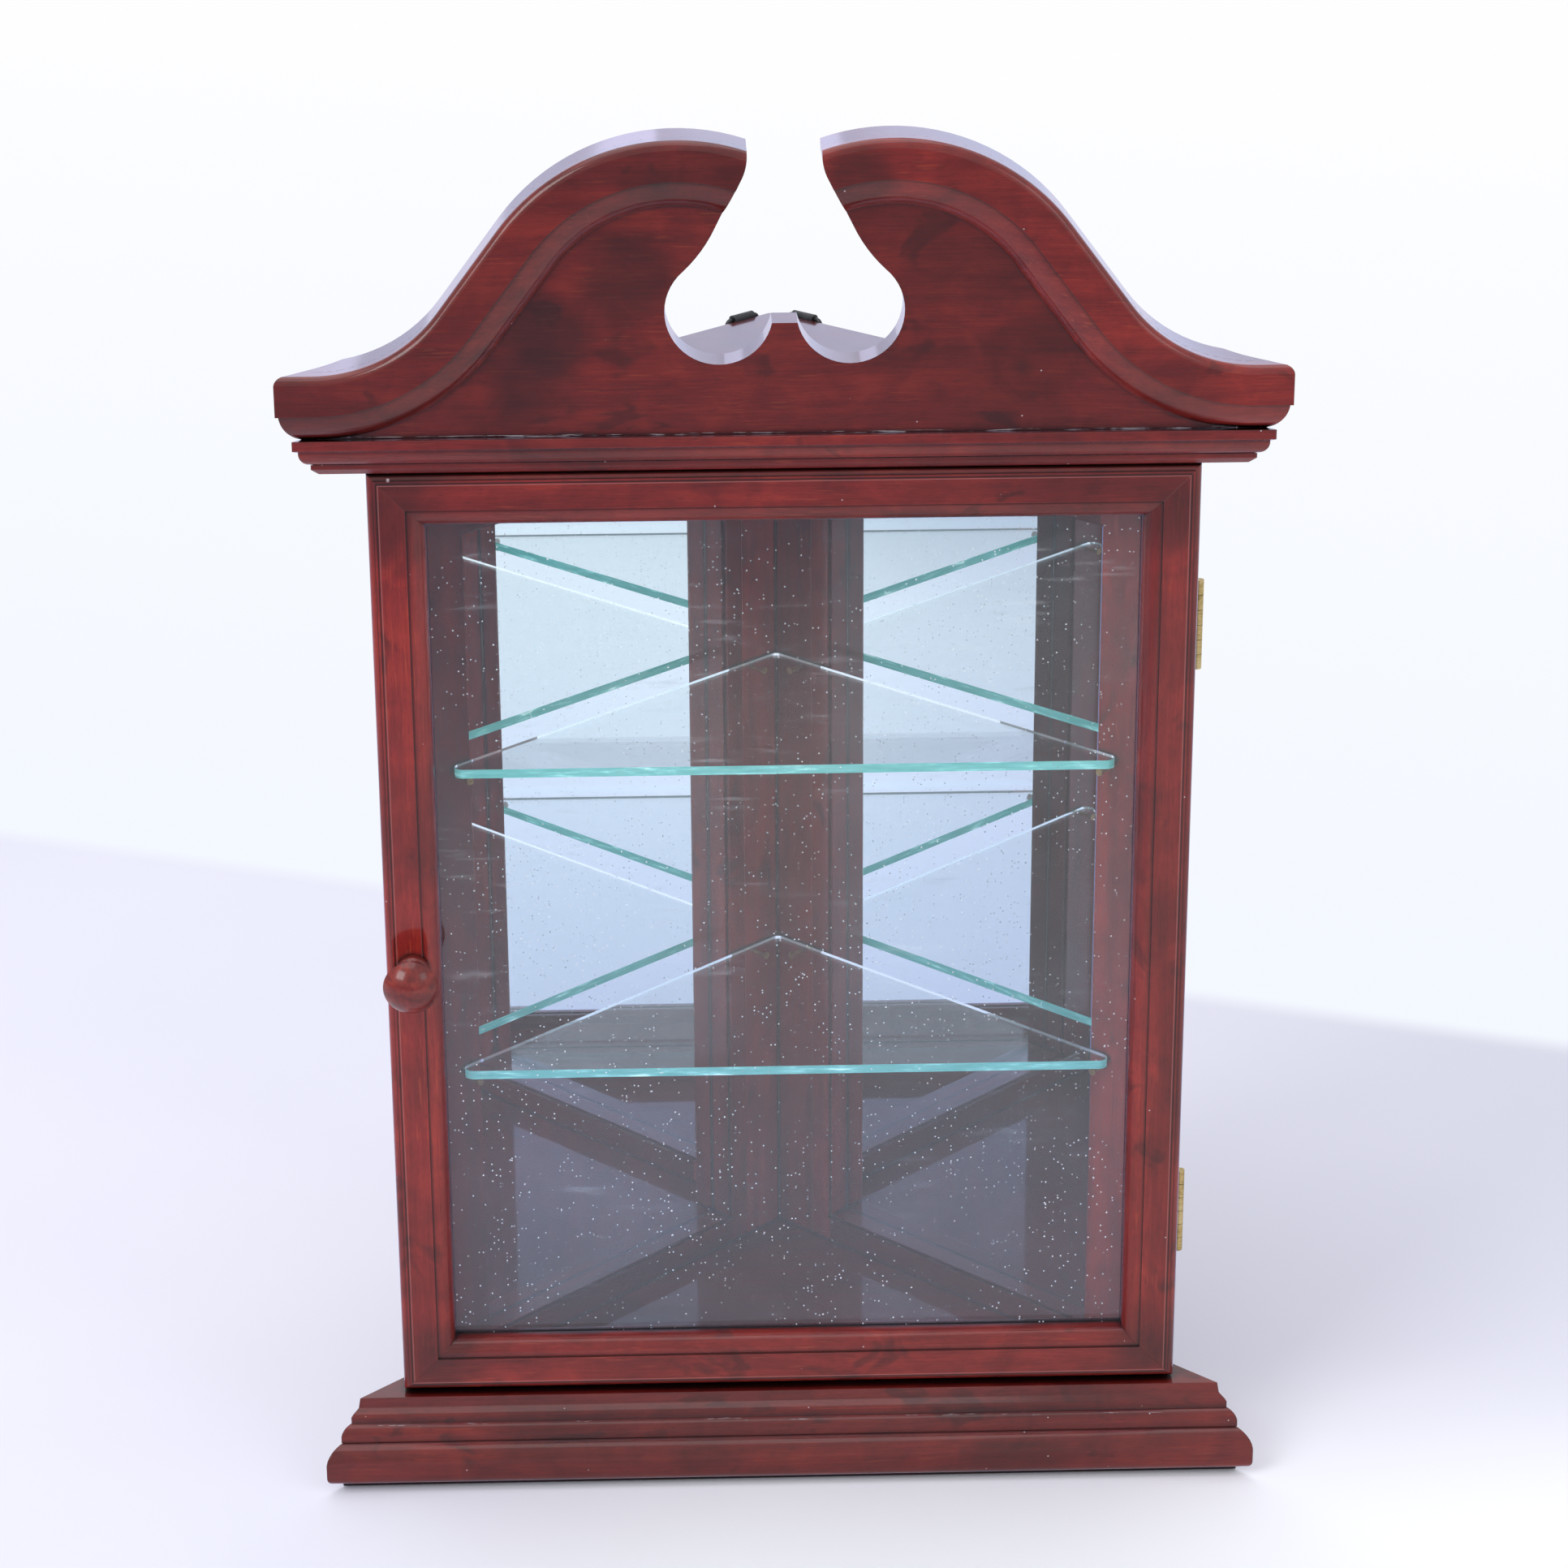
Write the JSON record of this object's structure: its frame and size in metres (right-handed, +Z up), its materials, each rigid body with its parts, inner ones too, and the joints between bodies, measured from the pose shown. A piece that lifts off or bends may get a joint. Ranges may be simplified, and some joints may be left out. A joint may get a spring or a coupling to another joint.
{
  "type": "corner display case",
  "caption": "Triangular corner display case with a glazed door, mirrored walls, glass shelves and a swan-neck pediment, for small models and collectables.",
  "frame": {"origin": "centre of the footprint box, on the floor under the case, halfway between the front of the knob and the back corner", "axes": "+X to the right seen from the front, the hinge side; +Y to the back, the side of the corner; +Z up"},
  "size_m": [0.4202, 0.216, 0.6173],
  "materials": {
    "mahogany": "semi-gloss stained mahogany with dark figure",
    "mahogany_dark": "semi-gloss stained mahogany, dark",
    "door_glass": "clear float glass",
    "shelf_glass": "clear float glass with ground edges that look green-blue",
    "mirror": "silvered glass",
    "hardboard": "plain brown board",
    "brass": "dull brass plate",
    "black_steel": "black",
    "steel": "zinc plated",
    "magnet": "dark nickel plate"
  },
  "bodies": {
    "case": {"base_moulding": "mahogany", "left_base_rail": "mahogany_dark", "right_base_rail": "mahogany_dark", "floor_board": "mahogany_dark", "left_front_stile": "mahogany", "left_back_stile": "mahogany", "left_top_rail": "mahogany", "left_bottom_rail": "mahogany", "right_front_stile": "mahogany", "right_back_stile": "mahogany", "right_top_rail": "mahogany", "right_bottom_rail": "mahogany", "left_corner_board": "mahogany", "right_corner_board": "mahogany", "left_mirror": "mirror", "right_mirror": "mirror", "left_backing": "hardboard", "right_backing": "hardboard", "top_board": "mahogany", "cornice": "mahogany", "pediment_board": "mahogany", "left_scroll": "mahogany", "right_scroll": "mahogany", "shelf_pins": "brass", "magnet": "magnet", "upper_case_leaf": "brass", "lower_case_leaf": "brass", "hinge_pins": "brass", "case_leaf_screws": "brass", "left_hanger_strap": "black_steel", "right_hanger_strap": "black_steel", "hanger_screws": "steel"},
    "door": {"door_left_stile": "mahogany", "door_right_stile": "mahogany", "door_top_rail": "mahogany", "door_bottom_rail": "mahogany", "door_glass": "door_glass", "door_leaf_screws": "brass", "left_glass_bead": "mahogany", "right_glass_bead": "mahogany", "top_glass_bead": "mahogany", "bottom_glass_bead": "mahogany", "knob": "mahogany", "knob_screw": "steel", "strike_disc": "steel", "strike_screw": "steel", "upper_door_leaf": "brass", "lower_door_leaf": "brass"},
    "upper_shelf": {"upper_shelf": "shelf_glass"},
    "lower_shelf": {"lower_shelf": "shelf_glass"},
    "left_ring": {"left_hanger_ring": "black_steel"},
    "right_ring": {"right_hanger_ring": "black_steel"}
  },
  "joints": [
    {"name": "door_swing", "type": "hinge", "parent": "case", "child": "door", "pos_m": [0.1772, -0.0654, 0.2585], "axis": [0, 0, 1], "range_deg": [0, 180]},
    {"name": "upper_shelf_lift", "type": "slide", "parent": "case", "child": "upper_shelf", "axis": [0, 0, 1], "range_m": [0, 0.1]},
    {"name": "lower_shelf_lift", "type": "slide", "parent": "case", "child": "lower_shelf", "axis": [0, 0, 1], "range_m": [0, 0.13]},
    {"name": "left_ring_swing", "type": "hinge", "parent": "case", "child": "left_ring", "pos_m": [-0.01421, 0.09876, 0.4931], "axis": [0.7071, 0.7071, 0], "range_deg": [0, 245]},
    {"name": "right_ring_swing", "type": "hinge", "parent": "case", "child": "right_ring", "pos_m": [0.01421, 0.09876, 0.4931], "axis": [0.7071, -0.7071, 0], "range_deg": [0, 245]}
  ]
}
